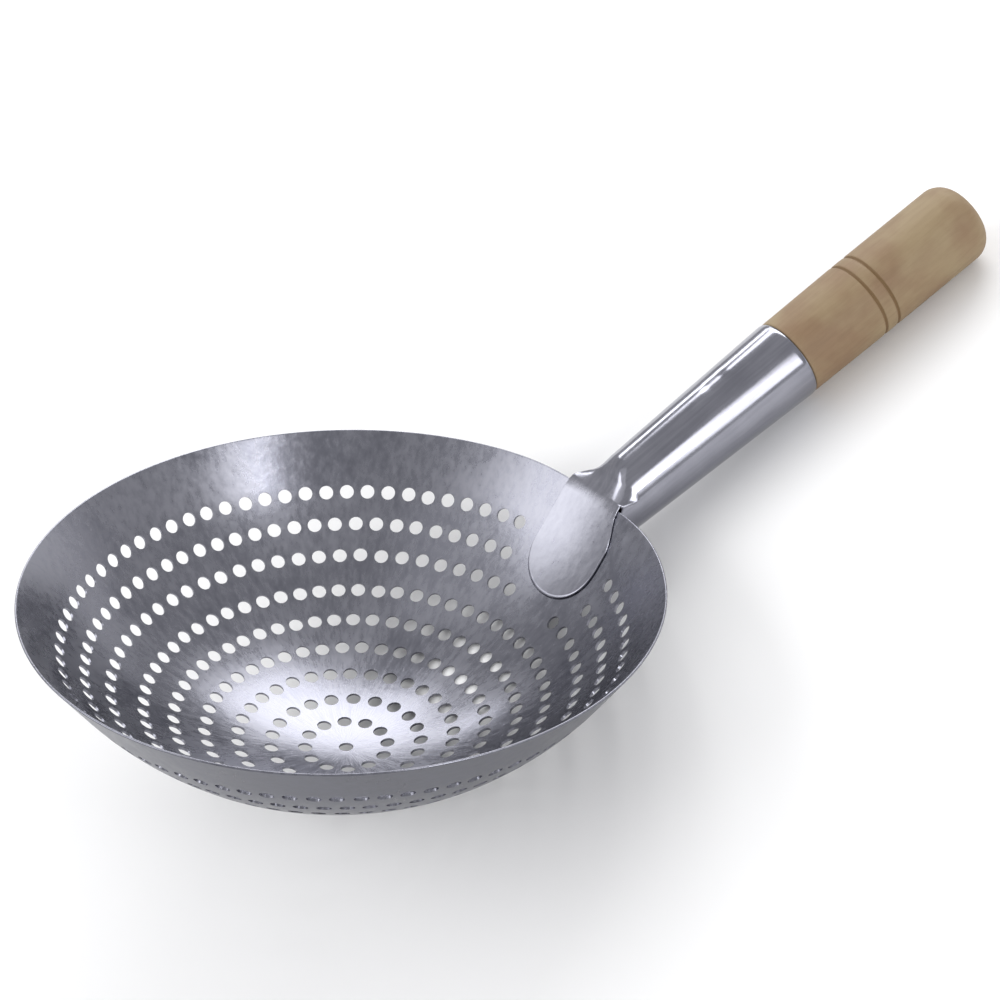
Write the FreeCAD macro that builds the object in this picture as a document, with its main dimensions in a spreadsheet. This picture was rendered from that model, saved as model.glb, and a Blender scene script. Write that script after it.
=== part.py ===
import FreeCAD, Part
import Sketcher
import math
import os

# Wok strainer: a pressed and punched steel bowl, a rolled steel socket that grips
# its rim, and a turned wooden grip driven into the socket. Millimetres throughout.
# Each piece is drawn with the centre of the bowl's dome at the origin, +Z out of the
# bowl's mouth and +X towards the handle, and is then laid down as it comes to rest.

SIZES = {
    # bowl: a dome that runs on into a short straight band up to the rim
    "rim_radius": 130.0,
    "bowl_depth": 77.4,
    "rim_band": 21.1,
    "bowl_sheet": 1.0,
    # rings of round holes, spaced along the wall
    "hole_diameter": 6.0,
    "first_ring_arc": 17.1,
    "rim_to_holes": 27.2,
    "extra_ring_gap": 2.1,
    # handle: a straight axis that crosses the rim circle and rises from it
    "axis_drop": 8.0,
    "handle_angle": 23.4,
    # socket: cone of rolled sheet, its upper half pressed flat and wide over the rim
    "socket_length": 107.0,
    "socket_sheet": 1.0,
    "root_radius": 15.0,
    "mouth_radius": 18.4,
    "flare_length": 22.0,
    "fold_height": 1.8,
    "lip_round": 0.6,
    "tongue_width": 40.0,
    "tongue_length": 49.0,
    # dent pressed into the top of the socket to lock the grip's tenon
    "dent_place": 70.5,
    "dent_length": 13.0,
    "dent_depth": 1.0,
    # grip
    "grip_length": 105.5,
    "grip_radius": 18.5,
    "neck_radius": 18.05,
    "tenon_length": 57.0,
    "end_round": 9.0,
    "groove_place": 41.0,
    "groove_pitch": 7.3,
    "groove_width": 1.6,
    "groove_depth": 0.8,
    # clearances
    "weld_clearance": 0.1,
    "tenon_clearance": 0.1,
}

# holes in each ring from the middle out; the outer rings stop short of the tongue,
# by this much more (or less) than its width
RING_HOLES = (12, 21, 33, 43, 53, 61, 64, 69, 74)
BARE_MARGINS = (None, None, None, None, None, None, -8.0, 17.0, 23.0)
# the ring after which the extra gap comes
LAST_INNER_RING = 6

Y_AXIS = FreeCAD.Vector(0, 1, 0)
Z_AXIS = FreeCAD.Vector(0, 0, 1)
# how far a cutting shape reaches past the sheet that it cuts
OVERRUN = 1.0


def worked_out(size):
    """The sizes that follow from the driving ones."""
    out = {}
    # an arc from the bottom and a straight band tangent to it meet the rim circle
    dome_angle = 2 * math.atan(size["bowl_depth"] / (size["rim_radius"] + size["rim_band"]))
    dome_radius = size["rim_radius"] - size["rim_band"] * math.cos(dome_angle)
    dome_radius /= math.sin(dome_angle)
    out["dome_angle"] = math.degrees(dome_angle)
    out["dome_radius"] = dome_radius
    out["rim_height"] = size["bowl_depth"] - dome_radius
    rim_arc = dome_radius * dome_angle + size["rim_band"]
    spread = rim_arc - size["rim_to_holes"] - size["extra_ring_gap"] - size["first_ring_arc"]
    out["ring_pitch"] = spread / (len(RING_HOLES) - 1)
    # a ball that cuts a dent of this length and depth along the socket
    half = size["dent_length"] / 2
    depth = size["dent_depth"]
    out["dent_ball"] = (half * half + depth * depth) / (2 * depth)
    # the socket's flat top passes just over the rim, and its sides lean in to the round
    slope = math.radians(size["handle_angle"])
    out["rim_along"] = size["axis_drop"] * math.sin(slope)
    out["fold_above_axis"] = size["axis_drop"] * math.cos(slope) + size["fold_height"]
    half = size["tongue_width"] / 2
    corner = math.hypot(half, out["fold_above_axis"])
    lean = math.acos(size["root_radius"] / corner) - math.atan2(out["fold_above_axis"], half)
    out["side_lean"] = math.degrees(lean)
    out["rest_angle"] = math.degrees(rest_angle(size, dome_radius, out["rim_height"]))
    return out


def rest_angle(size, dome_radius, rim_height):
    """The tilt at which the dome and the corner of the grip's end both touch the floor."""
    slope = math.radians(size["handle_angle"])
    along = size["socket_length"] + size["grip_length"] - size["end_round"]
    below = size["grip_radius"] - size["end_round"]
    x = size["rim_radius"] + along * math.cos(slope) + below * math.sin(slope)
    z = rim_height - size["axis_drop"] + along * math.sin(slope) - below * math.cos(slope)
    drop = dome_radius + size["bowl_sheet"] - size["end_round"]
    return math.atan2(z, x) + math.asin(drop / math.hypot(x, z))


SIZES.update(worked_out(SIZES))

doc = FreeCAD.newDocument("wok_strainer")
sheet = doc.addObject("Spreadsheet::Sheet", "Sizes")
for row, (alias, value) in enumerate(SIZES.items(), start=1):
    sheet.set("A%d" % row, alias)
    sheet.set("B%d" % row, repr(value))
    sheet.setAlias("B%d" % row, alias)
doc.recompute()


def origin_part(body, role):
    return next(f for f in body.Origin.OriginFeatures if f.Role == role)


def add_body(name):
    body = doc.addObject("PartDesign::Body", name)
    body.Label = name
    return body


def add_sketch(body, name, role):
    sketch = body.newObject("Sketcher::SketchObject", name)
    sketch.AttachmentSupport = [(origin_part(body, role), "")]
    sketch.MapMode = "FlatFace"
    return sketch


def closed_path(sketch, points):
    """Straight edges round a list of (x, y) points."""
    corners = [FreeCAD.Vector(x, y, 0) for x, y in points]
    for start, end in zip(corners, corners[1:] + corners[:1]):
        sketch.addGeometry(Part.LineSegment(start, end))


def add_revolution(body, sketch, axis):
    turned = body.newObject("PartDesign::Revolution", sketch.Name + "_turned")
    turned.Profile = sketch
    turned.ReferenceAxis = (sketch, [axis])
    turned.Angle = 360
    body.Tip = turned
    return turned


# The bowl's section, as offsets from the inner face of the wall

ANGLE = math.radians(SIZES["dome_angle"])
OUTWARD = (math.sin(ANGLE), -math.cos(ANGLE))
UPWARD = (math.cos(ANGLE), math.sin(ANGLE))


def band_point(offset, above):
    """A point off the rim's inner edge: outwards through the sheet, and up along the band."""
    x = SIZES["rim_radius"] + offset * OUTWARD[0] + above * UPWARD[0]
    z = SIZES["rim_height"] + offset * OUTWARD[1] + above * UPWARD[1]
    return (x, z)


def dome_end(offset):
    return band_point(offset, -SIZES["rim_band"])


def add_dome_arc(sketch, offset):
    circle = Part.Circle(FreeCAD.Vector(0, 0, 0), Z_AXIS, SIZES["dome_radius"] + offset)
    sketch.addGeometry(Part.ArcOfCircle(circle, -math.pi / 2, ANGLE - math.pi / 2))


def add_lines(sketch, points):
    corners = [FreeCAD.Vector(x, y, 0) for x, y in points]
    for start, end in zip(corners, corners[1:]):
        sketch.addGeometry(Part.LineSegment(start, end))


def wall_section(body, name, inner, outer, above):
    """A strip of even thickness that follows the wall, from the axis to above the rim."""
    sketch = add_sketch(body, name, "XZ_Plane")
    bottom = SIZES["dome_radius"]
    add_dome_arc(sketch, inner)
    add_dome_arc(sketch, outer)
    add_lines(sketch, [dome_end(inner), band_point(inner, above)])
    add_lines(sketch, [band_point(inner, above), band_point(outer, above), dome_end(outer)])
    add_lines(sketch, [(0, -bottom - outer), (0, -bottom - inner)])
    return sketch


# Bowl


def ring_arc(ring):
    """Distance of a ring of holes from the bottom of the bowl, along the wall."""
    arc = SIZES["first_ring_arc"] + ring * SIZES["ring_pitch"]
    if ring >= LAST_INNER_RING:
        arc += SIZES["extra_ring_gap"]
    return arc


def ring_lean(ring):
    """Angle at the dome's centre between the bowl's axis and a ring of holes."""
    arc = ring_arc(ring)
    dome_arc = SIZES["dome_radius"] * ANGLE
    if arc <= dome_arc:
        return arc / SIZES["dome_radius"]
    return ANGLE + math.atan((arc - dome_arc) / SIZES["dome_radius"])


def bare_half_angle(ring):
    """Half the angle that a ring leaves bare at the tongue, in degrees."""
    margin = BARE_MARGINS[ring]
    if margin is None:
        return 0.0
    half_width = (SIZES["tongue_width"] + margin) / 2
    ring_radius = SIZES["dome_radius"] * math.sin(ring_lean(ring))
    return math.degrees(math.asin(half_width / ring_radius))


def add_punches(name, lean, first_angle, span, count):
    """Round pins square to the wall in a ring, each running just through the sheet."""
    body = add_body(name)
    sketch = add_sketch(body, name + "_round", "XY_Plane")
    turn = FreeCAD.Rotation(Z_AXIS, first_angle)
    tip = FreeCAD.Rotation(Y_AXIS, -math.degrees(lean))
    sketch.AttachmentOffset = FreeCAD.Placement(FreeCAD.Vector(0, 0, 0), turn.multiply(tip))
    sketch.addGeometry(Part.Circle(FreeCAD.Vector(0, 0, 0), Z_AXIS, SIZES["hole_diameter"] / 2))
    sketch.addConstraint(Sketcher.Constraint("Coincident", 0, 3, -1, 1))
    sketch.addConstraint(Sketcher.Constraint("Diameter", 0, SIZES["hole_diameter"]))
    sketch.setExpression("Constraints[1]", "Sizes.hole_diameter")
    pin = body.newObject("PartDesign::Pad", name + "_pin")
    pin.Profile = sketch
    pin.Reversed = True
    pin.setExpression("Length", "Sizes.dome_radius + Sizes.bowl_sheet + %g" % OVERRUN)
    doc.recompute()
    # the pin starts at the dome's centre, so only its far end is kept
    ball = body.newObject("PartDesign::SubtractiveSphere", name + "_core")
    ball.setExpression("Radius", "Sizes.dome_radius - %g" % OVERRUN)
    doc.recompute()
    if count == 1:
        return body
    ring = body.newObject("PartDesign::PolarPattern", name + "_ring")
    ring.TransformMode = "Whole shape"
    ring.Axis = (origin_part(body, "Z_Axis"), "")
    ring.Angle = span
    ring.Occurrences = count
    ring.Refine = False
    body.Tip = ring
    return body


def combine(kind, name, base, tool):
    """A boolean of two objects: Cut, Fuse or Common."""
    made = doc.addObject("Part::" + kind, name)
    made.Label = name
    made.Base = base
    made.Tool = tool
    made.Refine = False
    return made


def make_bowl():
    """One sheet pressed to a bowl, with its holes punched in rings about the bottom."""
    wall = add_body("pressed_wall")
    section = wall_section(wall, "wall_section", 0.0, SIZES["bowl_sheet"], 0.0)
    add_revolution(wall, section, "V_Axis")
    punches = [add_punches("punch_middle", 0.0, 0.0, 360.0, 1)]
    for ring, count in enumerate(RING_HOLES):
        bare = bare_half_angle(ring)
        span = 360.0 - 2 * bare
        name = "punch_ring_%d" % (ring + 1)
        punches.append(add_punches(name, ring_lean(ring), bare, span, count))
    tools = doc.addObject("Part::Compound", "punches")
    tools.Links = punches
    return combine("Cut", "bowl", wall, tools)


# Handle, drawn along +X from the point where its axis crosses the rim circle

HANDLE_PLACE = FreeCAD.Placement(
    FreeCAD.Vector(SIZES["rim_radius"], 0, SIZES["rim_height"] - SIZES["axis_drop"]),
    FreeCAD.Rotation(Y_AXIS, -SIZES["handle_angle"]),
)
# the flared end of the socket runs this far in past the rim before it is trimmed
ROOT_REACH = 60.0
# the bowl's wall is followed this far above the rim when the socket is trimmed to it
ABOVE_RIM = 40.0
# the round end of the flare is parted here to match the corners of its flattened end
CORNER_ANGLE = 45.0


def socket_radius(along):
    """Outer radius of the socket's cone at a distance from the rim."""
    taper = (SIZES["mouth_radius"] - SIZES["root_radius"]) / SIZES["socket_length"]
    return SIZES["root_radius"] + taper * along


def add_arc(sketch, radius, start, end):
    circle = Part.Circle(FreeCAD.Vector(0, 0, 0), Z_AXIS, radius)
    sketch.addGeometry(Part.ArcOfCircle(circle, math.radians(start), math.radians(end)))


def add_round_outline(sketch, radius):
    """A circle in four arcs, parted where the flattened outline has its corners."""
    lean = SIZES["side_lean"]
    add_arc(sketch, radius, CORNER_ANGLE, 180.0 - CORNER_ANGLE)
    add_arc(sketch, radius, 180.0 - CORNER_ANGLE, 180.0 + lean)
    add_arc(sketch, radius, 180.0 + lean, 360.0 - lean)
    add_arc(sketch, radius, -lean, CORNER_ANGLE)


def add_flattened_outline(sketch, radius, top):
    """A flat wide top, straight sides that lean in, and a round lower half."""
    lean = math.radians(SIZES["side_lean"])
    wide = (radius + top * math.sin(lean)) / math.cos(lean)
    side = (radius * math.cos(lean), -radius * math.sin(lean))
    add_lines(sketch, [(wide, top), (-wide, top), (-side[0], side[1])])
    add_arc(sketch, radius, 180.0 + SIZES["side_lean"], 360.0 - SIZES["side_lean"])
    add_lines(sketch, [side, (wide, top)])


def add_flare(body, name, inset):
    """Loft from the round cone to a flattened section as wide as the tongue."""
    sections = []
    for number, along in enumerate((SIZES["flare_length"], SIZES["rim_along"], -ROOT_REACH)):
        sketch = add_sketch(body, "%s_section_%d" % (name, number), "YZ_Plane")
        sketch.AttachmentOffset = FreeCAD.Placement(FreeCAD.Vector(0, 0, along), FreeCAD.Rotation())
        if number == 0:
            add_round_outline(sketch, socket_radius(along) - inset)
        else:
            add_flattened_outline(sketch, SIZES["root_radius"] - inset, SIZES["fold_above_axis"] - inset)
        sections.append(sketch)
    flare = body.newObject("PartDesign::AdditiveLoft", name + "_flare")
    flare.Profile = sections[0]
    flare.Sections = sections[1:]
    flare.Ruled = True
    return flare


def make_socket_outside():
    body = add_body("socket_outside")
    body.Placement = HANDLE_PLACE
    length = SIZES["socket_length"]
    lip = SIZES["lip_round"]
    start = SIZES["flare_length"]
    sketch = add_sketch(body, "cone_outside", "XZ_Plane")
    shoulder = (length - lip, socket_radius(length - lip))
    centre = FreeCAD.Vector(length - lip, shoulder[1] - lip, 0)
    add_lines(sketch, [(length, shoulder[1] - lip), (length, 0), (start, 0)])
    add_lines(sketch, [(start, 0), (start, socket_radius(start)), shoulder])
    sketch.addGeometry(Part.ArcOfCircle(Part.Circle(centre, Z_AXIS, lip), 0, math.pi / 2))
    add_revolution(body, sketch, "H_Axis")
    body.Tip = add_flare(body, "outside", 0.0)
    return body


def make_socket_bore():
    body = add_body("socket_bore")
    body.Placement = HANDLE_PLACE
    inset = SIZES["socket_sheet"]
    start = SIZES["flare_length"]
    end = SIZES["socket_length"] + OVERRUN
    sketch = add_sketch(body, "cone_bore", "XZ_Plane")
    closed_path(
        sketch,
        [(start, 0), (end, 0), (end, socket_radius(end) - inset), (start, socket_radius(start) - inset)],
    )
    add_revolution(body, sketch, "H_Axis")
    body.Tip = add_flare(body, "bore", inset)
    return body


def make_bowl_room():
    """All that the socket keeps out of: the wall, and the inside of the bowl."""
    body = add_body("bowl_room")
    sketch = add_sketch(body, "room_section", "XZ_Plane")
    gap = SIZES["weld_clearance"]
    outer = SIZES["bowl_sheet"] + gap
    inner = -gap - SIZES["socket_sheet"]
    top = band_point(inner, ABOVE_RIM)
    add_dome_arc(sketch, outer)
    add_lines(sketch, [dome_end(outer), band_point(outer, gap), band_point(inner, gap), top])
    add_lines(sketch, [top, (0, top[1]), (0, -SIZES["dome_radius"] - outer)])
    add_revolution(body, sketch, "V_Axis")
    return body


def make_tongue_strip():
    """A skin on the inside of the wall that runs straight on above the rim."""
    body = add_body("tongue_strip")
    gap = SIZES["weld_clearance"]
    sketch = wall_section(body, "strip_section", -gap - SIZES["socket_sheet"], -gap, ABOVE_RIM)
    add_revolution(body, sketch, "V_Axis")
    return body


def make_tongue_outline():
    """The tongue's rounded outline, cut square through the wall from the rim down."""
    body = add_body("tongue_outline")
    sketch = add_sketch(body, "outline", "XY_Plane")
    rim = band_point(0.0, 0.0)
    lean = FreeCAD.Rotation(Y_AXIS, 180.0 - SIZES["dome_angle"])
    sketch.AttachmentOffset = FreeCAD.Placement(FreeCAD.Vector(rim[0], 0, rim[1]), lean)
    half = SIZES["tongue_width"] / 2
    top = -SIZES["weld_clearance"]
    straight = SIZES["tongue_length"] - half
    add_lines(sketch, [(straight, half), (top, half), (top, -half), (straight, -half)])
    circle = Part.Circle(FreeCAD.Vector(straight, 0, 0), Z_AXIS, half)
    sketch.addGeometry(Part.ArcOfCircle(circle, -math.pi / 2, math.pi / 2))
    prism = body.newObject("PartDesign::Pad", "outline_prism")
    prism.Profile = sketch
    prism.Midplane = True
    prism.setExpression("Length", "Sizes.tongue_width / 2")
    body.Tip = prism
    return body


def dent_ball(name, grow):
    """A ball pressed into the top of the socket, its radius larger by the given amount."""
    ball = doc.addObject("Part::Sphere", name)
    ball.setExpression("Radius", "Sizes.dent_ball" + grow)
    depth = socket_radius(SIZES["dent_place"]) + SIZES["dent_ball"] - SIZES["dent_depth"]
    centre = FreeCAD.Vector(SIZES["dent_place"], 0, depth)
    ball.Placement = HANDLE_PLACE.multiply(FreeCAD.Placement(centre, FreeCAD.Rotation()))
    return ball


def make_socket():
    """Sheet rolled to a cone: its end straddles the rim, with a tongue down the inside."""
    outside = make_socket_outside()
    shell = combine("Cut", "socket_shell", outside, make_socket_bore())
    trimmed = combine("Cut", "socket_trimmed", shell, make_bowl_room())
    # above the rim the tongue runs up into the socket, which it closes
    keep = doc.addObject("Part::Box", "socket_front")
    keep.setExpression("Length", "Sizes.flare_length")
    keep.setExpression("Width", "2 * Sizes.tongue_width")
    keep.setExpression("Height", "2 * Sizes.tongue_width")
    corner = FreeCAD.Vector(-2 * OVERRUN, -SIZES["tongue_width"], -SIZES["tongue_width"])
    keep.Placement = HANDLE_PLACE.multiply(FreeCAD.Placement(corner, FreeCAD.Rotation()))
    front = combine("Common", "socket_crown", outside, keep)
    outline = combine("Fuse", "tongue_and_crown", make_tongue_outline(), front)
    tongue = combine("Common", "tongue", make_tongue_strip(), outline)
    straddling = combine("Fuse", "socket_and_tongue", trimmed, tongue)
    skin = combine("Common", "dent_skin", outside, dent_ball("dent_outer", " + Sizes.socket_sheet"))
    dented = combine("Fuse", "socket_with_dent", straddling, skin)
    return combine("Cut", "handle_socket", dented, dent_ball("dent_inner", ""))


def make_grip():
    """Turned wood: a tapered tenon in the socket, a shoulder, and a plain rounded grip."""
    body = add_body("grip")
    length = SIZES["socket_length"]
    end = length + SIZES["grip_length"]
    inset = SIZES["socket_sheet"] + SIZES["tenon_clearance"]
    tip = length - SIZES["tenon_length"]
    shoulder = length + SIZES["tenon_clearance"]
    first_groove = length + SIZES["groove_place"]
    corner = SIZES["grip_radius"] - SIZES["end_round"]
    sketch = add_sketch(body, "turned_profile", "XZ_Plane")
    add_lines(sketch, [(end, corner), (end, 0), (tip, 0), (tip, socket_radius(tip) - inset)])
    add_lines(sketch, [(tip, socket_radius(tip) - inset), (shoulder, socket_radius(shoulder) - inset)])
    add_lines(sketch, [(shoulder, socket_radius(shoulder) - inset), (shoulder, SIZES["neck_radius"])])
    add_lines(sketch, [(shoulder, SIZES["neck_radius"]), (first_groove, SIZES["grip_radius"])])
    round_start = end - SIZES["end_round"]
    add_lines(sketch, [(first_groove, SIZES["grip_radius"]), (round_start, SIZES["grip_radius"])])
    centre = FreeCAD.Vector(round_start, corner, 0)
    sketch.addGeometry(Part.ArcOfCircle(Part.Circle(centre, Z_AXIS, SIZES["end_round"]), 0, math.pi / 2))
    add_revolution(body, sketch, "H_Axis")
    doc.recompute()
    cut = add_sketch(body, "groove_section", "XZ_Plane")
    half = SIZES["groove_width"] / 2
    deep = SIZES["grip_radius"] - SIZES["groove_depth"]
    high = SIZES["grip_radius"] + OVERRUN
    rise = half * (high - deep) / SIZES["groove_depth"]
    closed_path(cut, [(first_groove, deep), (first_groove + rise, high), (first_groove - rise, high)])
    groove = body.newObject("PartDesign::Groove", "hand_groove")
    groove.Profile = cut
    groove.ReferenceAxis = (cut, ["H_Axis"])
    groove.Angle = 360
    doc.recompute()
    pair = body.newObject("PartDesign::LinearPattern", "hand_grooves")
    pair.Originals = [groove]
    pair.Direction = (origin_part(body, "X_Axis"), "")
    pair.Occurrences = 2
    pair.setExpression("Length", "Sizes.groove_pitch")
    body.Tip = pair
    doc.recompute()
    dent = body.newObject("PartDesign::SubtractiveSphere", "tenon_dent")
    dent.setExpression("Radius", "Sizes.dent_ball + Sizes.socket_sheet + Sizes.tenon_clearance")
    high = socket_radius(SIZES["dent_place"]) + SIZES["dent_ball"] - SIZES["dent_depth"]
    centre = FreeCAD.Vector(SIZES["dent_place"], 0, high)
    dent.AttachmentOffset = FreeCAD.Placement(centre, FreeCAD.Rotation())
    dent.Placement = dent.AttachmentOffset
    body.Tip = dent
    return body


bowl = make_bowl()
socket = make_socket()
grip = make_grip()
doc.recompute()

# At rest the dome and the corner of the grip's end touch the floor at z = 0, and the
# origin is the middle of the floor that the whole strainer covers.


def lay_down(shift):
    height = SIZES["dome_radius"] + SIZES["bowl_sheet"]
    tilt = FreeCAD.Rotation(Y_AXIS, SIZES["rest_angle"])
    lying = FreeCAD.Placement(FreeCAD.Vector(shift, 0, height), tilt)
    bowl.Placement = lying
    socket.Placement = lying
    grip.Placement = lying.multiply(HANDLE_PLACE)
    doc.recompute()


PIECES = (bowl, socket, grip)
lay_down(0.0)
boxes = [piece.Shape.optimalBoundingBox() for piece in PIECES]
lay_down(-(min(box.XMin for box in boxes) + max(box.XMax for box in boxes)) / 2)

for item in doc.Objects:
    if "Invalid" in item.State or "Error" in item.State:
        raise RuntimeError("%s: %s" % (item.Name, item.State))

os.makedirs("parts", exist_ok=True)
for piece in PIECES:
    if piece.Shape.isNull() or not piece.Shape.isValid():
        raise RuntimeError("%s has no valid shape" % piece.Label)
    piece.Shape.exportStep("parts/%s.step" % piece.Label)
    box = piece.Shape.optimalBoundingBox()
    print(piece.Label, len(piece.Shape.Solids), "solid", round(piece.Shape.Volume, 1), "mm3", box)
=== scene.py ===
import math
import random

import bpy
import bmesh
import numpy as np
from mathutils import Matrix, Vector


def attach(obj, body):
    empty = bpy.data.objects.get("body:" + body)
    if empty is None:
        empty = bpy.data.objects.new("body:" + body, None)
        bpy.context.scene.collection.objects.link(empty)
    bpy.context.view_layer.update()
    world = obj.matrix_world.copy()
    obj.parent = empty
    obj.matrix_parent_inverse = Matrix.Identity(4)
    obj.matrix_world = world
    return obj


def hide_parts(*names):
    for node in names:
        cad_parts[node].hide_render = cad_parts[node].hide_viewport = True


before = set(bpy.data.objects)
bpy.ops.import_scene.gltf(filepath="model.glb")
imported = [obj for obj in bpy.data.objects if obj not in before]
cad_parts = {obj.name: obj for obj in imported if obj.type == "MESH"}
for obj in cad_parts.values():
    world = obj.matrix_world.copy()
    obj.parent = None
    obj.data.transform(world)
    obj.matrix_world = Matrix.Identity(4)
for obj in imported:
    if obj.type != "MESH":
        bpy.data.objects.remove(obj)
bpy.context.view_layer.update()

# Bowl: one round sheet of mild steel, pressed to a shallow dome with a short
# straight band up to its plain rim, then punched with rings of round holes.

RIM_RADIUS = 0.130
BOWL_DEPTH = 0.0774
RIM_BAND = 0.0211
BOWL_SHEET = 0.001
RIM_DIP = 0.0022
DOME_ANGLE = 2 * math.atan(BOWL_DEPTH / (RIM_RADIUS + RIM_BAND))
DOME_RADIUS = (RIM_RADIUS - RIM_BAND * math.cos(DOME_ANGLE)) / math.sin(DOME_ANGLE)
DOME_ARC = DOME_RADIUS * DOME_ANGLE
RIM_ARC = DOME_ARC + RIM_BAND
RIM_HEIGHT = BOWL_DEPTH - DOME_RADIUS
# the strainer lies on the dome and the end of the grip, so the bowl leans to the handle
REST_LEAN = math.radians(24.6761)
DOME_CENTRE = (-0.075949, 0, 0.145997)
lying = Matrix.Translation(DOME_CENTRE) @ Matrix.Rotation(REST_LEAN, 4, "Y")


def wall_profile(arc, outward):
    """Radius and height of the wall at a distance along it, off its inner face."""
    if arc <= DOME_ARC:
        lean = arc / DOME_RADIUS
        return ((DOME_RADIUS + outward) * math.sin(lean), -(DOME_RADIUS + outward) * math.cos(lean))
    beyond = arc - DOME_ARC
    across, up = math.cos(DOME_ANGLE), math.sin(DOME_ANGLE)
    radius = DOME_RADIUS * up + outward * up + beyond * across
    height = -DOME_RADIUS * across - outward * across + beyond * up
    return (radius, height)


def lathe(profile, sides):
    """Mesh data of a closed profile turned about Z, with its ends on the axis."""
    points = [(0, 0, profile[0][1])]
    for radius, height in profile[1:-1]:
        for side in range(sides):
            turn = 2 * math.pi * side / sides
            points.append((radius * math.cos(turn), radius * math.sin(turn), height))
    points.append((0, 0, profile[-1][1]))
    faces = []
    rings = len(profile) - 2
    for side in range(sides):
        after = (side + 1) % sides
        faces.append((0, 1 + after, 1 + side))
        for ring in range(rings - 1):
            low, high = 1 + ring * sides, 1 + (ring + 1) * sides
            faces.append((low + side, low + after, high + after, high + side))
        last = 1 + (rings - 1) * sides
        faces.append((last + side, last + after, len(points) - 1))
    return points, faces


def add_object(name, points, faces):
    mesh = bpy.data.meshes.new(name)
    mesh.from_pydata(points, [], faces)
    mesh.validate()
    thing = bpy.data.objects.new(name, mesh)
    bpy.context.scene.collection.objects.link(thing)
    return thing


WALL_ROWS = 44
BOWL_SIDES = 256
EDGE_STEPS = 8
edge_radius = BOWL_SHEET / 2
edge_middle = wall_profile(RIM_ARC - edge_radius, edge_radius)
shell = [wall_profile(RIM_ARC * row / WALL_ROWS, BOWL_SHEET) for row in range(WALL_ROWS)]
for step in range(EDGE_STEPS + 1):
    turn = DOME_ANGLE - math.pi / 2 + math.pi * step / EDGE_STEPS
    across, up = edge_radius * math.cos(turn), edge_radius * math.sin(turn)
    shell.append((edge_middle[0] + across, edge_middle[1] + up))
shell += [wall_profile(RIM_ARC * row / WALL_ROWS, 0) for row in range(WALL_ROWS - 1, -1, -1)]
bowl = add_object("bowl_visual", *lathe(shell, BOWL_SIDES))

# the rings of holes, from the middle out; the outer ones stop short of the tongue
RING_HOLES = (12, 21, 33, 43, 53, 61, 64, 69, 74)
BARE_WIDTH = (0, 0, 0, 0, 0, 0, 0.032, 0.057, 0.063)
FIRST_RING_ARC = 0.0171
RIM_TO_HOLES = 0.0272
EXTRA_RING_GAP = 0.0021
RINGS_BEFORE_GAP = 6
ring_pitch = (RIM_ARC - RIM_TO_HOLES - EXTRA_RING_GAP - FIRST_RING_ARC) / (len(RING_HOLES) - 1)
marks = [(0, 0, -DOME_RADIUS - BOWL_SHEET / 2)]
for ring, count in enumerate(RING_HOLES):
    arc = FIRST_RING_ARC + ring * ring_pitch
    if ring >= RINGS_BEFORE_GAP:
        arc += EXTRA_RING_GAP
    lean = min(arc, DOME_ARC) / DOME_RADIUS + math.atan(max(0, arc - DOME_ARC) / DOME_RADIUS)
    reach = (DOME_RADIUS + BOWL_SHEET / 2) / math.cos(max(0, lean - DOME_ANGLE))
    bare = math.asin(BARE_WIDTH[ring] / 2 / (DOME_RADIUS * math.sin(lean)))
    spacing = 2 * math.pi / count if bare == 0 else (2 * math.pi - 2 * bare) / (count - 1)
    for hole in range(count):
        turn = bare + hole * spacing
        across = reach * math.sin(lean)
        marks.append((across * math.cos(turn), across * math.sin(turn), -reach * math.cos(lean)))
punch_marks = add_object("punch_marks", marks, [])


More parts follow.
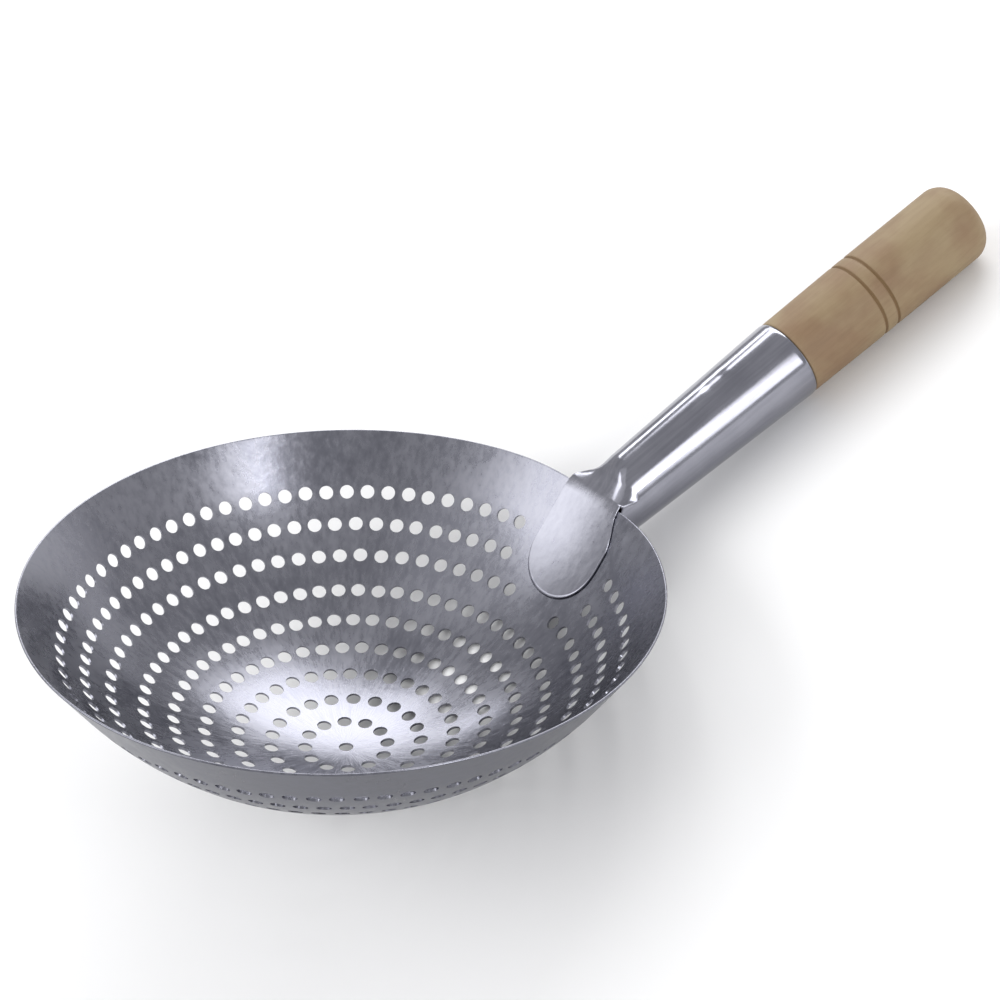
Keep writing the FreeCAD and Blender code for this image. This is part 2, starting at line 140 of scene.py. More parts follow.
def steel_finish(name, dark, light, smooth, rough, unevenness, along_wall):
    """Steel with faint clouds, and streaks that run down the wall or along the handle."""
    steel = bpy.data.materials.new(name)
    steel.use_nodes = True
    nodes, links = steel.node_tree.nodes, steel.node_tree.links
    skin = nodes["Principled BSDF"]
    skin.inputs["Metallic"].default_value = 1.0
    where = nodes.new("ShaderNodeTexCoord")
    cloud = nodes.new("ShaderNodeTexNoise")
    cloud.inputs["Scale"].default_value = 30.0
    cloud.inputs["Detail"].default_value = 4.0
    cloud.inputs["Roughness"].default_value = 0.55
    links.new(where.outputs["Object"], cloud.inputs["Vector"])
    level = nodes.new("ShaderNodeMapping")
    level.vector_type = "POINT"
    if along_wall:
        # turned back to the bowl's own axis, and spread evenly round it
        back_to_bowl = lying.inverted()
        level.inputs["Location"].default_value = back_to_bowl.to_translation()
        level.inputs["Rotation"].default_value = back_to_bowl.to_euler()
        flat = nodes.new("ShaderNodeVectorMath")
        flat.operation = "MULTIPLY"
        flat.inputs[1].default_value = (1, 1, 0)
        spread = nodes.new("ShaderNodeVectorMath")
        spread.operation = "NORMALIZE"
        depth = nodes.new("ShaderNodeVectorMath")
        depth.operation = "MULTIPLY_ADD"
        depth.inputs[1].default_value = (5, 5, 9)
        links.new(level.outputs["Vector"], flat.inputs[0])
        links.new(flat.outputs["Vector"], spread.inputs[0])
        links.new(level.outputs["Vector"], depth.inputs[0])
        links.new(spread.outputs["Vector"], depth.inputs[2])
        coordinate, scale = depth.outputs["Vector"], 26.0
    else:
        level.inputs["Scale"].default_value = (0.06, 1, 1)
        coordinate, scale = level.outputs["Vector"], 420.0
    links.new(where.outputs["Object"], level.inputs["Vector"])
    streak = nodes.new("ShaderNodeTexNoise")
    streak.inputs["Scale"].default_value = scale
    streak.inputs["Detail"].default_value = 5.0
    streak.inputs["Roughness"].default_value = 0.6
    links.new(coordinate, streak.inputs["Vector"])
    both = nodes.new("ShaderNodeMix")
    both.inputs["Factor"].default_value = 0.5
    links.new(cloud.outputs["Fac"], both.inputs["A"])
    links.new(streak.outputs["Fac"], both.inputs["B"])
    tone = nodes.new("ShaderNodeValToRGB")
    tone.color_ramp.elements[0].position = 0.38
    tone.color_ramp.elements[0].color = dark
    tone.color_ramp.elements[1].position = 0.62
    tone.color_ramp.elements[1].color = light
    links.new(both.outputs["Result"], tone.inputs["Fac"])
    links.new(tone.outputs["Color"], skin.inputs["Base Color"])
    gloss = nodes.new("ShaderNodeMapRange")
    gloss.inputs["From Min"].default_value = 0.35
    gloss.inputs["From Max"].default_value = 0.65
    gloss.inputs["To Min"].default_value = smooth
    gloss.inputs["To Max"].default_value = rough
    links.new(both.outputs["Result"], gloss.inputs["Value"])
    links.new(gloss.outputs["Result"], skin.inputs["Roughness"])
    grit = nodes.new("ShaderNodeTexNoise")
    grit.inputs["Scale"].default_value = 240.0
    grit.inputs["Detail"].default_value = 4.0
    links.new(where.outputs["Object"], grit.inputs["Vector"])
    ripple = nodes.new("ShaderNodeBump")
    ripple.inputs["Strength"].default_value = unevenness
    ripple.inputs["Distance"].default_value = 0.0003
    links.new(grit.outputs["Fac"], ripple.inputs["Height"])
    links.new(ripple.outputs["Normal"], skin.inputs["Normal"])
    return steel, gloss, ripple


INSIDE_DARK, INSIDE_LIGHT = (0.185, 0.188, 0.221, 1), (0.273, 0.275, 0.313, 1)
# the outside of the bowl gets darker colours than the inside: painted shade on the outer wall
OUTSIDE_DARK, OUTSIDE_LIGHT = (0.108, 0.110, 0.132, 1), (0.165, 0.168, 0.197, 1)
steel = steel_finish("bowl_steel", INSIDE_DARK, INSIDE_LIGHT, 0.20, 0.34, 0.20, True)[0]
shaded_outside_steel = steel_finish("bowl_steel_outside_shaded", OUTSIDE_DARK, OUTSIDE_LIGHT, 0.26, 0.42, 0.20, True)[0]

# the punching: round pins square to the dome, taken out of the sheet
punching = bpy.data.node_groups.new("punched_holes", "GeometryNodeTree")
for label, kind in (("Sheet", "Geometry"), ("Marks", "Object"), ("Hole radius", "Float"),
                    ("Pin length", "Float"), ("Pin sides", "Int"), ("Wander", "Float"),
                    ("Seed", "Int"), ("Steel", "Material")):
    punching.interface.new_socket(label, in_out="INPUT", socket_type="NodeSocket" + kind)
punching.interface.new_socket("Punched sheet", in_out="OUTPUT", socket_type="NodeSocketGeometry")
n = punching.nodes
given = n.new("NodeGroupInput")
result = n.new("NodeGroupOutput")
marked = n.new("GeometryNodeObjectInfo")
shake = n.new("FunctionNodeRandomValue")
shake.data_type = "FLOAT_VECTOR"
shake.inputs["Min"].default_value = (-1, -1, -1)
shake.inputs["Max"].default_value = (1, 1, 1)
shake_size = n.new("ShaderNodeVectorMath")
shake_size.operation = "SCALE"
moved = n.new("GeometryNodeSetPosition")
spot = n.new("GeometryNodeInputPosition")
square_to = n.new("FunctionNodeAlignRotationToVector")
square_to.axis = "Z"
pin = n.new("GeometryNodeMeshCylinder")
pins = n.new("GeometryNodeInstanceOnPoints")
loose_pins = n.new("GeometryNodeRealizeInstances")
punch = n.new("GeometryNodeMeshBoolean")
punch.operation = "DIFFERENCE"
punch.solver = "MANIFOLD"
whole = n.new("GeometryNodeRealizeInstances")
coat = n.new("GeometryNodeSetMaterial")
join = punching.links.new
join(given.outputs["Marks"], marked.inputs["Object"])
join(given.outputs["Seed"], shake.inputs["Seed"])
join(shake.outputs["Value"], shake_size.inputs[0])
join(given.outputs["Wander"], shake_size.inputs["Scale"])
join(marked.outputs["Geometry"], moved.inputs["Geometry"])
join(shake_size.outputs["Vector"], moved.inputs["Offset"])
join(spot.outputs["Position"], square_to.inputs["Vector"])
join(given.outputs["Hole radius"], pin.inputs["Radius"])
join(given.outputs["Pin length"], pin.inputs["Depth"])
join(given.outputs["Pin sides"], pin.inputs["Vertices"])
join(moved.outputs["Geometry"], pins.inputs["Points"])
join(pin.outputs["Mesh"], pins.inputs["Instance"])
join(square_to.outputs["Rotation"], pins.inputs["Rotation"])
join(pins.outputs["Instances"], loose_pins.inputs["Geometry"])
join(given.outputs["Sheet"], punch.inputs["Mesh 1"])
join(loose_pins.outputs["Geometry"], punch.inputs["Mesh 2"])
join(punch.outputs["Mesh"], whole.inputs["Geometry"])
join(whole.outputs["Geometry"], coat.inputs["Geometry"])
join(given.outputs["Steel"], coat.inputs["Material"])
join(coat.outputs["Geometry"], result.inputs["Punched sheet"])


def shape_with(thing, group, values):
    """Run a node group on an object and keep the result as its plain mesh."""
    modifier = thing.modifiers.new(group.name, "NODES")
    modifier.node_group = group
    for item in group.interface.items_tree:
        if item.item_type == "SOCKET" and item.in_out == "INPUT" and item.name in values:
            modifier[item.identifier] = values[item.name]
    bpy.context.view_layer.update()
    ready = thing.evaluated_get(bpy.context.evaluated_depsgraph_get())
    mesh = bpy.data.meshes.new_from_object(ready)
    thing.modifiers.remove(modifier)
    thing.data = mesh


shape_with(bowl, punching, {
    "Marks": punch_marks,
    "Hole radius": 0.003,
    "Pin length": 0.004,
    "Pin sides": 32,
    "Wander": 0.00025,
    "Seed": 7,
    "Steel": steel,
})
bpy.data.objects.remove(punch_marks)

# the press leaves the sheet slightly uneven; its shading follows the true curve
WAVES = 14
WAVE_LENGTHS = (0.030, 0.085)
WAVE_HEIGHT = 0.00014
wave_maker = random.Random(5)
waves = []
for number in range(WAVES):
    direction = Vector([wave_maker.gauss(0, 1) for axis in range(3)]).normalized()
    length = wave_maker.uniform(*WAVE_LENGTHS)
    waves.append((direction * 2 * math.pi / length, wave_maker.uniform(0, 2 * math.pi), length))
directions = np.array([wave[0] for wave in waves])
phases = np.array([wave[1] for wave in waves])
heights = np.array([wave[2] for wave in waves])
heights = WAVE_HEIGHT * heights / heights.sum()

mesh = bowl.data
points = np.empty(len(mesh.vertices) * 3)
mesh.vertices.foreach_get("co", points)
points = points.reshape(-1, 3)
across = np.hypot(points[:, 0], points[:, 1])
lean = np.arctan2(across, -points[:, 2])
lean = np.minimum(lean, DOME_ANGLE)
turn = np.arctan2(points[:, 1], points[:, 0])
out = np.stack([np.sin(lean) * np.cos(turn), np.sin(lean) * np.sin(turn), -np.cos(lean)], 1)
swing = points @ directions.T + phases
# only ever inwards, clear of the floor
push = np.sin(swing) @ heights - heights.sum()
slope = np.cos(swing) * heights @ directions
slope -= out * np.sum(slope * out, 1)[:, None]
edge = np.array(edge_middle)
along_edge = np.stack([across - edge[0], points[:, 2] - edge[1]], 1)
past_edge = along_edge @ np.array([math.cos(DOME_ANGLE), math.sin(DOME_ANGLE)])
round_edge = past_edge > -1e-6
edge_out = [along_edge[:, 0] * np.cos(turn), along_edge[:, 0] * np.sin(turn), along_edge[:, 1]]
edge_out = np.stack(edge_out, 1)
edge_out /= np.maximum(np.linalg.norm(edge_out, axis=1), 1e-9)[:, None]
corner_of = np.empty(len(mesh.loops), int)
mesh.loops.foreach_get("vertex_index", corner_of)
face_out = np.empty(len(mesh.polygons) * 3)
mesh.polygons.foreach_get("normal", face_out)
face_out = face_out.reshape(-1, 3)
sizes = np.empty(len(mesh.polygons), int)
mesh.polygons.foreach_get("loop_total", sizes)
face_of = np.repeat(np.arange(len(sizes)), sizes)
facing = np.sum(face_out[face_of] * out[corner_of], 1)
side = np.sign(facing)[:, None]
smooth = out[corner_of] - slope[corner_of]
smooth /= np.linalg.norm(smooth, axis=1)[:, None]
# the walls of the holes stand square to the sheet and keep their own shading
ON_SHEET = 0.6
shading = np.where(np.abs(facing)[:, None] > ON_SHEET, smooth * side, face_out[face_of])
shading = np.where(round_edge[corner_of][:, None], edge_out[corner_of], shading)
points += out * push[:, None]
# the rim is pressed down a little where the socket is welded to it
DIP_HALF_WIDTH = 0.028
DIP_REACH = 0.021
beside = np.exp(-(points[:, 1] / DIP_HALF_WIDTH) ** 2) * (points[:, 0] > 0)
near_rim = np.clip(1 + past_edge / DIP_REACH, 0, 1)
dip = RIM_DIP * beside * near_rim * near_rim * (3 - 2 * near_rim)
points[:, 0] -= dip * math.cos(DOME_ANGLE)
points[:, 2] -= dip * math.sin(DOME_ANGLE)
mesh.vertices.foreach_set("co", points.ravel())
mesh.polygons.foreach_set("use_smooth", np.ones(len(mesh.polygons), bool))
mesh.update()
mesh.normals_split_custom_set(shading.tolist())
# the outside is rougher than the inside, and its darker colour is painted shade
face_side = np.add.reduceat(facing, np.concatenate([[0], np.cumsum(sizes)[:-1]])) / sizes
mesh.materials.clear()
mesh.materials.append(steel)
mesh.materials.append(shaded_outside_steel)
mesh.polygons.foreach_set("material_index", (face_side > ON_SHEET).astype(int))
mesh.transform(lying)
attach(bowl, "root")
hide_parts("bowl")

# Socket: one steel sheet rolled to a cone round the wood. At the bowl its upper half
# is pressed flat, folded over the rim and run down the inside as a rounded tongue.

HANDLE_SLOPE = math.radians(23.4)
AXIS_DROP = 0.008
SOCKET_LENGTH = 0.107
SOCKET_SHEET = 0.001
ROOT_RADIUS = 0.015
MOUTH_RADIUS = 0.0184
TONGUE_WIDTH = 0.040
TONGUE_LENGTH = 0.049
FLARE_LENGTH = 0.018
FOLD_LIFT = 0.0009
FOLD_CURL = 0.0007
FOLD_NARROWING = 0.36
WELD_GAP = 0.0001
LIP_ROLL = 0.0003
LIP_LENGTH = 0.0022
SCOOP_DEPTH = 0.0006
DENT_PLACE = 0.0705
DENT_DEPTH = 0.00022
CORNER_LEAN = math.radians(20)
SIDE_LEAN = math.radians(22.5)
# the socket's own axes: along its middle line from the rim, to its side, and up
handle_start = Matrix.Translation((RIM_RADIUS, 0, RIM_HEIGHT - AXIS_DROP))
along_handle = lying @ handle_start @ Matrix.Rotation(-HANDLE_SLOPE, 4, "Y")
# where the rim passes under the fold; the socket is drawn along the middle of its sheet
rise = DOME_ANGLE - HANDLE_SLOPE
rim_along = AXIS_DROP * math.sin(HANDLE_SLOPE) - RIM_DIP * math.cos(rise)
fold_height = AXIS_DROP * math.cos(HANDLE_SLOPE) - RIM_DIP * math.sin(rise) + FOLD_LIFT


def ease(value):
    value = min(1.0, max(0.0, value))
    return value * value * (3 - 2 * value)


def socket_radius(along):
    plain = ROOT_RADIUS + (MOUTH_RADIUS - ROOT_RADIUS) * along / SOCKET_LENGTH - SOCKET_SHEET / 2
    # the lip is rolled in a little against the wood
    return plain - LIP_ROLL * ease((along - SOCKET_LENGTH + LIP_LENGTH) / LIP_LENGTH)


def flare(along, across):
    """How far the round tube has gone over to the flat fold, in width and in height."""
    # it starts at half the length on one side, and comes more slowly in width than in height
    start = FLARE_LENGTH * (0.52 + 0.48 * ease((across + 0.9) / 1.3))
    part = ease((start - along) / (start - rim_along))
    return part ** 1.6, part ** 0.8


def narrowing(share):
    """The fold is hammered narrower on one side than on the other."""
    return 1.0 if share > 0 else 1.0 - FOLD_NARROWING * ease(-share * 1.5)


def upper_point(along, share):
    """A point of the upper half; share runs from -1 to 1 across it."""
    angle = math.pi / 2 - (math.pi / 2 - CORNER_LEAN) * share
    radius = socket_radius(along)
    flat_side = TONGUE_WIDTH / 2 * share * narrowing(share)
    flat_up = fold_height + FOLD_CURL * share * share
    wide, tall = flare(along, share)
    side = radius * math.cos(angle) * (1 - wide) + flat_side * wide
    up = radius * math.sin(angle) * (1 - tall) + flat_up * tall
    # a scoop is pressed into the top where it comes down to the rim
    scoop = math.exp(-((along - 0.0085) / 0.0040) ** 2) * math.exp(-((share - 0.15) / 0.42) ** 2)
    # a dent in the top locks the tenon
    dent_along = (along - DENT_PLACE) / 0.0088
    dent_side = radius * math.cos(angle) / 0.0070
    dent = ease(1.5 * (1 - abs(dent_along))) * math.exp(-dent_side ** 2)
    return Vector((along, side, up - SCOOP_DEPTH * scoop - DENT_DEPTH * dent))


def lower_point(along, angle):
    """A point of the lower part; the angle runs from one corner round to the other."""
    radius = socket_radius(along)
    root = ROOT_RADIUS - SOCKET_SHEET / 2
    narrow_side = angle < -math.pi / 2
    narrow = narrowing(-1.0) if narrow_side else 1.0
    corner = (TONGUE_WIDTH / 2 * narrow, fold_height + FOLD_CURL)
    tangent = (root * math.cos(SIDE_LEAN), -root * math.sin(SIDE_LEAN))
    folded = -math.pi - angle if narrow_side else angle
    share = min(1.0, (CORNER_LEAN - folded) / (CORNER_LEAN + SIDE_LEAN))
    if share < 1 and narrow_side:
        # this side stays round up to its corner
        high = math.atan2(corner[1], corner[0])
        turn = high - (high + SIDE_LEAN) * share
        reach = math.hypot(*corner) * (1 - share) + root * share
        flat_side, flat_up = reach * math.cos(turn), reach * math.sin(turn)
    elif share < 1:
        flat_side = corner[0] + (tangent[0] - corner[0]) * share
        flat_up = corner[1] + (tangent[1] - corner[1]) * share
    else:
        flat_side, flat_up = root * math.cos(folded), root * math.sin(folded)
    if narrow_side:
        flat_side = -flat_side
    across = (-1.0 if narrow_side else 1.0) * min(1.0, abs(math.cos(angle)) * 2)
    wide, tall = flare(along, across)
    side = radius * math.cos(angle) * (1 - wide) + flat_side * wide
    up = radius * math.sin(angle) * (1 - tall) + flat_up * tall
    return Vector((along, side, up))


def tongue_point(down, side):
    """A point of the tongue, down the wall from the rim, in the socket's own axes."""
    radius, height = wall_profile(RIM_ARC - down, -WELD_GAP - SOCKET_SHEET / 2)
    inward = Vector((math.sqrt(radius * radius - side * side), side, height))
    return along_handle.inverted() @ lying @ inward


def outside_wall(point):
    """How far a point of the socket is outside the bowl's wall."""
    place = lying.inverted() @ along_handle @ point
    across = math.hypot(place.x, place.y)
    on_dome = math.hypot(across, place.z) - DOME_RADIUS
    end = wall_profile(DOME_ARC, 0)
    beyond = (across - end[0]) * math.cos(DOME_ANGLE) + (place.z - end[1]) * math.sin(DOME_ANGLE)
    if beyond < 0:
        return on_dome
    return (across - end[0]) * math.sin(DOME_ANGLE) - (place.z - end[1]) * math.cos(DOME_ANGLE)


def wall_meeting(angle, start):
    """Where a line of the lower part runs into the outside of the wall."""
    near, far = start, -0.06
    for halving in range(40):
        middle = (near + far) / 2
        if outside_wall(lower_point(middle, angle)) > BOWL_SHEET + WELD_GAP + SOCKET_SHEET / 2:
            near = middle
        else:
            far = middle
    return near


UPPER_COLUMNS = 48
LOWER_COLUMNS = 60
# from the lip to the slit where the two halves part, closer together at the lip and the dent
split = rim_along + 0.0016
stations = []
for start, gap, count in ((SOCKET_LENGTH - SOCKET_SHEET / 2, 0.0007, 4), (0.1035, 0.0021, 11),
                          (0.0797, 0.0007, 26), (0.0601, 0.0021, 25)):
    stations += [start - gap * step for step in range(count)]
stations = [s for s in stations if s > split + 0.0015] + [split + 0.0010, split]
shares = [math.sin(math.pi / 2 * (2 * column / UPPER_COLUMNS - 1)) for column in range(UPPER_COLUMNS + 1)]
low_turn = math.pi + 2 * CORNER_LEAN
low_angles = [CORNER_LEAN - low_turn * column / LOWER_COLUMNS for column in range(1, LOWER_COLUMNS)]
points, faces, loops = [], [], []
for along in stations:
    loops.append([])
    for share in shares:
        loops[-1].append(len(points))
        points.append(upper_point(along, share))
    for angle in low_angles:
        loops[-1].append(len(points))
        points.append(lower_point(along, angle))
around = len(loops[0])
for first, second in zip(loops, loops[1:]):
    for column in range(around):
        after = (column + 1) % around
        faces.append((first[column], first[after], second[after], second[column]))

# the upper half bends over the rim, meets the wall and goes on down it as the tongue
BEND_ROWS = 8
TONGUE_ROWS = 31
BEND_DOWN = 0.0052
WIDENING = 0.020
last = loops[-1][:UPPER_COLUMNS + 1]
rows = [last]
for step in range(1, BEND_ROWS + TONGUE_ROWS + 1):
    rows.append([])
    for column, share in enumerate(shares):
        length = TONGUE_LENGTH - TONGUE_WIDTH / 2 * (1 - math.sqrt(max(0.0, 1 - share * share)))
        part = max(0, step - BEND_ROWS) / TONGUE_ROWS
        down = BEND_DOWN + (length - BEND_DOWN) * part
        side = (TONGUE_WIDTH / 2 - SOCKET_SHEET / 4) * share
        side *= 1 - (1 - narrowing(share)) * (1 - ease(down / WIDENING))
        spot = tongue_point(down, side)
        if step < BEND_ROWS:
            # one smooth bend from the tube's direction into the wall's
            part = step / BEND_ROWS
            start = points[last[column]]
            leaving = (start - points[loops[-2][column]]).normalized() * 0.0030
            arriving = (tongue_point(BEND_DOWN + 0.0002, side) - spot).normalized() * 0.0040
            spot = start + (spot - start) * part ** 2 * (3 - 2 * part)
            spot += leaving * part * (1 - part) ** 2 - arriving * part ** 2 * (1 - part)
        rows[-1].append(len(points))
        points.append(spot)
for first, second in zip(rows, rows[1:]):
    for column in range(UPPER_COLUMNS):
        faces.append((first[column], first[column + 1], second[column + 1], second[column]))

# the lower part ends against the outside of the wall
LOWER_ROWS = 12
last_low = loops[-1][UPPER_COLUMNS:] + [loops[-1][0]]
low_corners = [CORNER_LEAN] + low_angles + [-math.pi - CORNER_LEAN]
ends = [wall_meeting(angle, split) for angle in low_corners]
rows = [last_low]
for step in range(1, LOWER_ROWS + 1):
    rows.append([])
    for angle, end in zip(low_corners, ends):
        along = split + (end - split) * step / LOWER_ROWS
        rows[-1].append(len(points))
        points.append(lower_point(along, angle))
for first, second in zip(rows, rows[1:]):
    for column in range(len(low_corners) - 1):
        faces.append((first[column], first[column + 1], second[column + 1], second[column]))


def thickened(points, faces, thickness):
    """Both faces of a sheet and a rounded edge all round it."""
    normals = [Vector() for point in points]
    for face in faces:
        corners = [points[index] for index in face]
        normal = (corners[2] - corners[0]).cross(corners[3] - corners[1])
        for index in face:
            normals[index] += normal
    normals = [normal.normalized() for normal in normals]
    count = len(points)
    outer = [point + normal * thickness / 2 for point, normal in zip(points, normals)]
    inner = [point - normal * thickness / 2 for point, normal in zip(points, normals)]
    made = list(faces)
    made += [tuple(index + count for index in reversed(face)) for face in faces]
    sides = {}
    for face in faces:
        for start, end in zip(face, face[1:] + face[:1]):
            sides[(start, end)] = face
    rims = [pair for pair in sides if (pair[1], pair[0]) not in sides]
    push = {}
    for start, end in rims:
        direction = (points[end] - points[start]).cross(normals[start]).normalized()
        for index in (start, end):
            push[index] = push.get(index, Vector()) + direction
    middle, extra = {}, []
    for index, direction in push.items():
        middle[index] = 2 * count + len(extra)
        extra.append(points[index] + direction.normalized() * thickness * 0.35)
    for start, end in rims:
        made.append((end, start, middle[start], middle[end]))
        made.append((middle[end], middle[start], start + count, end + count))
    return outer + inner + extra, made


socket = add_object("socket_visual", *thickened(points, faces, SOCKET_SHEET))
# rows that run out to nothing at the slit's corners are closed up
rows_closed = bmesh.new()
rows_closed.from_mesh(socket.data)
bmesh.ops.remove_doubles(rows_closed, verts=rows_closed.verts, dist=0.000002)
rows_closed.to_mesh(socket.data)
rows_closed.free()
socket.data.transform(along_handle)
socket.data.polygons.foreach_set("use_smooth", [True] * len(socket.data.polygons))
TUBE_DARK, TUBE_LIGHT = (0.245, 0.247, 0.285, 1), (0.325, 0.327, 0.37, 1)
TUBE_UNEVENNESS = 0.04
socket_steel, gloss, ripple = steel_finish(
    "socket_steel", TUBE_DARK, TUBE_LIGHT, 0.12, 0.20, TUBE_UNEVENNESS, False)


def place_along_handle(nodes, links, where):
    """The distance along the handle's middle line, as a shader output."""
    from_rim = nodes.new("ShaderNodeVectorMath")
    from_rim.operation = "SUBTRACT"
    from_rim.inputs[1].default_value = along_handle.to_translation()
    links.new(where.outputs["Object"], from_rim.inputs[0])
    distance = nodes.new("ShaderNodeVectorMath")
    distance.operation = "DOT_PRODUCT"
    distance.inputs[1].default_value = along_handle.to_3x3() @ Vector((1, 0, 0))
    links.new(from_rim.outputs["Vector"], distance.inputs[0])
    return distance.outputs["Value"]


# the tongue is left rougher than the tube, from hammering and welding
nodes, links = socket_steel.node_tree.nodes, socket_steel.node_tree.links
where = nodes.new("ShaderNodeTexCoord")
hammered = nodes.new("ShaderNodeMapRange")
hammered.inputs["From Min"].default_value = 0.010
hammered.inputs["From Max"].default_value = -0.004
links.new(place_along_handle(nodes, links, where), hammered.inputs["Value"])
rougher = nodes.new("ShaderNodeMath")
rougher.operation = "MULTIPLY_ADD"
rougher.inputs[1].default_value = 0.15
links.new(hammered.outputs["Result"], rougher.inputs[0])
links.new(gloss.outputs["Result"], rougher.inputs[2])
links.new(rougher.outputs["Value"], nodes["Principled BSDF"].inputs["Roughness"])
uneven = nodes.new("ShaderNodeMath")
uneven.operation = "MULTIPLY_ADD"
uneven.inputs[1].default_value = 0.22
uneven.inputs[2].default_value = TUBE_UNEVENNESS
links.new(hammered.outputs["Result"], uneven.inputs[0])
links.new(uneven.outputs["Value"], ripple.inputs["Strength"])
socket.data.materials.append(socket_steel)
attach(socket, "root")
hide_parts("handle_socket")

# Grip: a billet of pale wood turned to a plain barrel with two cut hand grooves and
# a rounded end; its tapered tenon is driven into the socket.

GRIP_LENGTH = 0.1055
GRIP_RADIUS = 0.0185
NECK_RADIUS = 0.01805
TENON_LENGTH = 0.057
END_ROUND = 0.009
END_STEPS = 12
GROOVE_DEPTH = 0.0009
GROOVE_SPREAD = 0.00062
BEVEL = 0.0006
GRIP_SIDES = 160
shoulder = SOCKET_LENGTH + 0.0001
grip_end = SOCKET_LENGTH + GRIP_LENGTH
grooves = (SOCKET_LENGTH + 0.041, SOCKET_LENGTH + 0.0483)
tenon = SOCKET_LENGTH - TENON_LENGTH
# the tenon, then the barrel in short steps at its grooves and its neck
turned = [(0, tenon)]
for along, off_sheet in ((tenon, 0.0012), (0.104, 0.0011), (shoulder, 0.0009)):
    turned.append((socket_radius(along) - off_sheet, along))
while along < grip_end - END_ROUND - 0.0002:
    taper = min(1.0, (along - shoulder) / (grooves[0] - shoulder))
    radius = NECK_RADIUS + (GRIP_RADIUS - NECK_RADIUS) * taper
    for groove in grooves:
        radius -= GROOVE_DEPTH * math.exp(-((along - groove) / GROOVE_SPREAD) ** 2)
    radius -= BEVEL / 2 * max(0.0, 1 - (along - shoulder) / BEVEL)
    turned.append((radius, along))
    near_groove = min(abs(along - groove) for groove in grooves) < 0.0024
    along += 0.00025 if near_groove or along < shoulder + 0.0008 else 0.0018
for step in range(END_STEPS + 1):
    turn = math.pi / 2 * step / END_STEPS
    radius = GRIP_RADIUS - END_ROUND + END_ROUND * math.cos(turn)
    turned.append((radius, grip_end - END_ROUND + END_ROUND * math.sin(turn)))
turned.append((0, grip_end))
grip = add_object("grip_visual", *lathe(turned, GRIP_SIDES))
grip.data.transform(along_handle @ Matrix.Rotation(math.pi / 2, 4, "Y"))
grip.data.polygons.foreach_set("use_smooth", [True] * len(grip.data.polygons))

wood = bpy.data.materials.new("grip_wood")
wood.use_nodes = True
nodes, links = wood.node_tree.nodes, wood.node_tree.links
skin = nodes["Principled BSDF"]
where = nodes.new("ShaderNodeTexCoord")
stretch = nodes.new("ShaderNodeMapping")
stretch.inputs["Scale"].default_value = (0.12, 1.0, 1.0)
stretch.inputs["Rotation"].default_value = (0, math.radians(1.28), 0)
links.new(where.outputs["Object"], stretch.inputs["Vector"])
grain = nodes.new("ShaderNodeTexNoise")
grain.inputs["Scale"].default_value = 520.0
grain.inputs["Detail"].default_value = 5.0
grain.inputs["Roughness"].default_value = 0.6
links.new(stretch.outputs["Vector"], grain.inputs["Vector"])
patch = nodes.new("ShaderNodeTexNoise")
patch.inputs["Scale"].default_value = 42.0
patch.inputs["Detail"].default_value = 3.0
links.new(where.outputs["Object"], patch.inputs["Vector"])
tone = nodes.new("ShaderNodeValToRGB")
tone.color_ramp.elements[0].position = 0.36
tone.color_ramp.elements[0].color = (0.238, 0.152, 0.084, 1)
tone.color_ramp.elements[1].position = 0.62
tone.color_ramp.elements[1].color = (0.297, 0.220, 0.124, 1)
links.new(patch.outputs["Fac"], tone.inputs["Fac"])
streak = nodes.new("ShaderNodeValToRGB")
streak.color_ramp.elements[0].position = 0.30
streak.color_ramp.elements[0].color = (0.90, 0.88, 0.86, 1)
streak.color_ramp.elements[1].position = 0.60
streak.color_ramp.elements[1].color = (1, 1, 1, 1)
links.new(grain.outputs["Fac"], streak.inputs["Fac"])
blend = nodes.new("ShaderNodeMix")
blend.data_type = "RGBA"
blend.blend_type = "MULTIPLY"
blend.inputs["Factor"].default_value = 1.0
links.new(tone.outputs["Color"], blend.inputs["A"])
links.new(streak.outputs["Color"], blend.inputs["B"])
# the wood is coloured darker in the two grooves
down_grip = place_along_handle(nodes, links, where)
groove_darkening = nodes.new("ShaderNodeMath")
groove_darkening.operation = "MAXIMUM"
for number, groove in enumerate(grooves):
    in_groove = nodes.new("ShaderNodeMath")
    in_groove.operation = "COMPARE"
    in_groove.inputs[1].default_value = groove
    in_groove.inputs[2].default_value = 0.0008
    links.new(down_grip, in_groove.inputs[0])
    links.new(in_groove.outputs["Value"], groove_darkening.inputs[number])
grooved = nodes.new("ShaderNodeMix")
grooved.data_type = "RGBA"
grooved.inputs["B"].default_value = (0.19, 0.115, 0.05, 1)
links.new(groove_darkening.outputs["Value"], grooved.inputs["Factor"])
links.new(blend.outputs["Result"], grooved.inputs["A"])
links.new(grooved.outputs["Result"], skin.inputs["Base Color"])
skin.inputs["Roughness"].default_value = 0.62
pores = nodes.new("ShaderNodeBump")
pores.inputs["Strength"].default_value = 0.25
pores.inputs["Distance"].default_value = 0.0002
links.new(grain.outputs["Fac"], pores.inputs["Height"])
links.new(pores.outputs["Normal"], skin.inputs["Normal"])
grip.data.materials.append(wood)
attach(grip, "root")
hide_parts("grip")

# Studio: a floor of pale paper, a soft light from all round, and six soft boxes placed
# where the steel mirrors them to the camera.

PAPER = 6
floor = add_object("floor", [(-PAPER, -PAPER, 0), (PAPER, -PAPER, 0), (PAPER, PAPER, 0), (-PAPER, PAPER, 0)],
                   [(0, 1, 2, 3)])
paper = bpy.data.materials.new("pale_paper")
paper.use_nodes = True
paper.node_tree.nodes["Principled BSDF"].inputs["Base Color"].default_value = (0.9, 0.9, 0.9, 1)
paper.node_tree.nodes["Principled BSDF"].inputs["Roughness"].default_value = 0.9
floor.data.materials.append(paper)

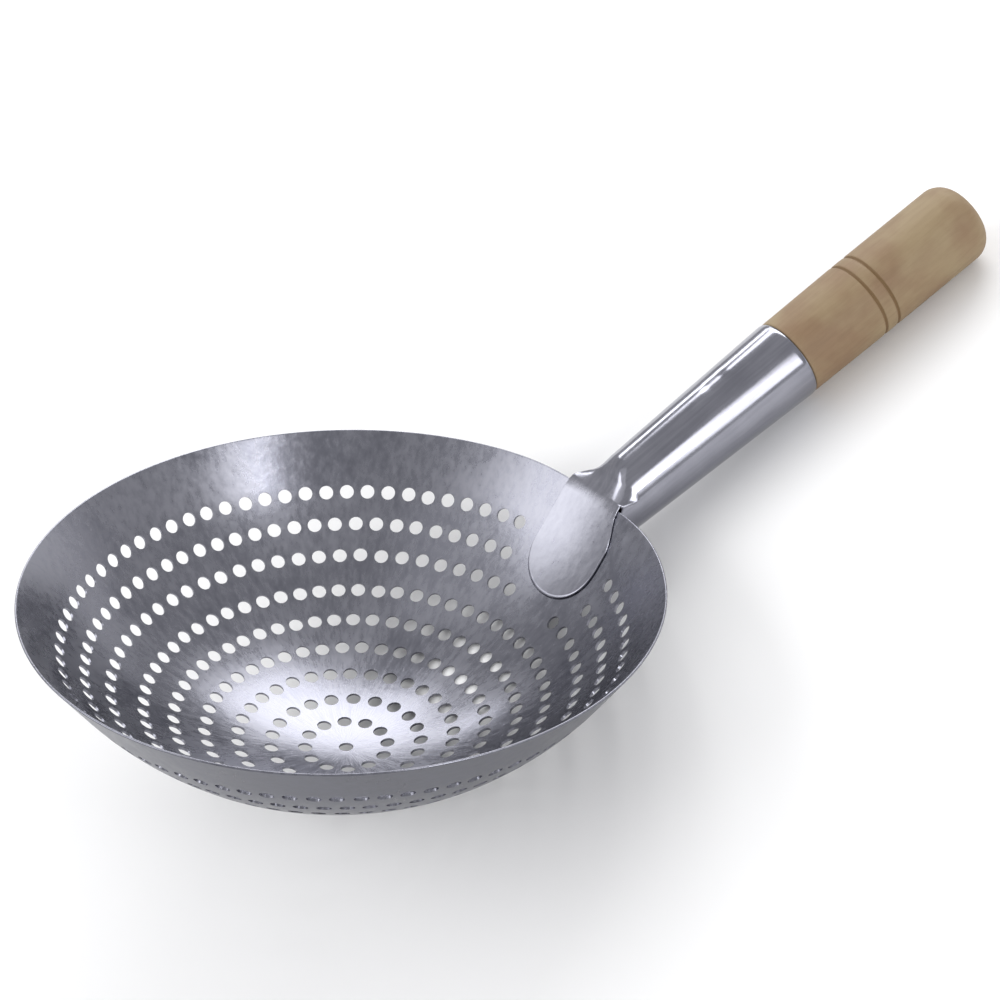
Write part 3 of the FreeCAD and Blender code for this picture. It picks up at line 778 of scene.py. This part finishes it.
world = bpy.data.worlds.new("studio")
world.use_nodes = True
world.node_tree.nodes["Background"].inputs["Color"].default_value = (0.98, 0.98, 1.0, 1)
world.node_tree.nodes["Background"].inputs["Strength"].default_value = 0.60
bpy.context.scene.world = world
bpy.context.scene.view_settings.view_transform = "Standard"
LIT_MIDDLE = Vector((-0.06, 0, 0.04))


def soft_box(name, bearing, height, width, tall, distance, watts):
    """A rectangular lamp at a bearing from +X and an angle above the floor, in degrees."""
    lamp = bpy.data.lights.new(name, "AREA")
    lamp.shape = "RECTANGLE"
    lamp.size = width
    lamp.size_y = tall
    lamp.energy = watts
    thing = bpy.data.objects.new(name, lamp)
    turn, rise = math.radians(bearing), math.radians(height)
    away = Vector((math.cos(rise) * math.cos(turn), math.cos(rise) * math.sin(turn), math.sin(rise)))
    thing.location = LIT_MIDDLE + away * distance
    thing.rotation_euler = away.to_track_quat("Z", "Y").to_euler()
    bpy.context.scene.collection.objects.link(thing)


soft_box("front_box", -79, 28, 0.42, 0.52, 1.7, 7.2)
soft_box("tall_front_box", -68, 26, 0.26, 1.05, 1.7, 2.9)
soft_box("top_box", 135, 72, 1.4, 1.4, 1.9, 2.1)
soft_box("back_box", 38, 31, 1.35, 0.95, 1.8, 17)
soft_box("low_back_box", 69, 22, 0.42, 0.26, 1.8, 1.8)
soft_box("left_box", 151, 42, 1.6, 0.85, 1.7, 12)

# Camera: a long lens that keeps the photo's view of the strainer, and so is turned
# with it as it lies.

CAMERA_PLACE = Vector((-0.3668, -1.0054, 1.0137))
camera_data = bpy.data.cameras.new("camera")
camera_data.lens = 124.93
camera_data.sensor_width = 36.0
camera = bpy.data.objects.new("camera", camera_data)
right = Vector((0.74433, -0.57358, -0.34203)).normalized()
back = Vector((-0.23835, -0.70660, 0.66628)).normalized()
up = back.cross(right).normalized()
camera.matrix_world = Matrix.Translation(CAMERA_PLACE) @ Matrix((right, up, back)).transposed().to_4x4()
bpy.context.scene.collection.objects.link(camera)
bpy.context.scene.camera = camera
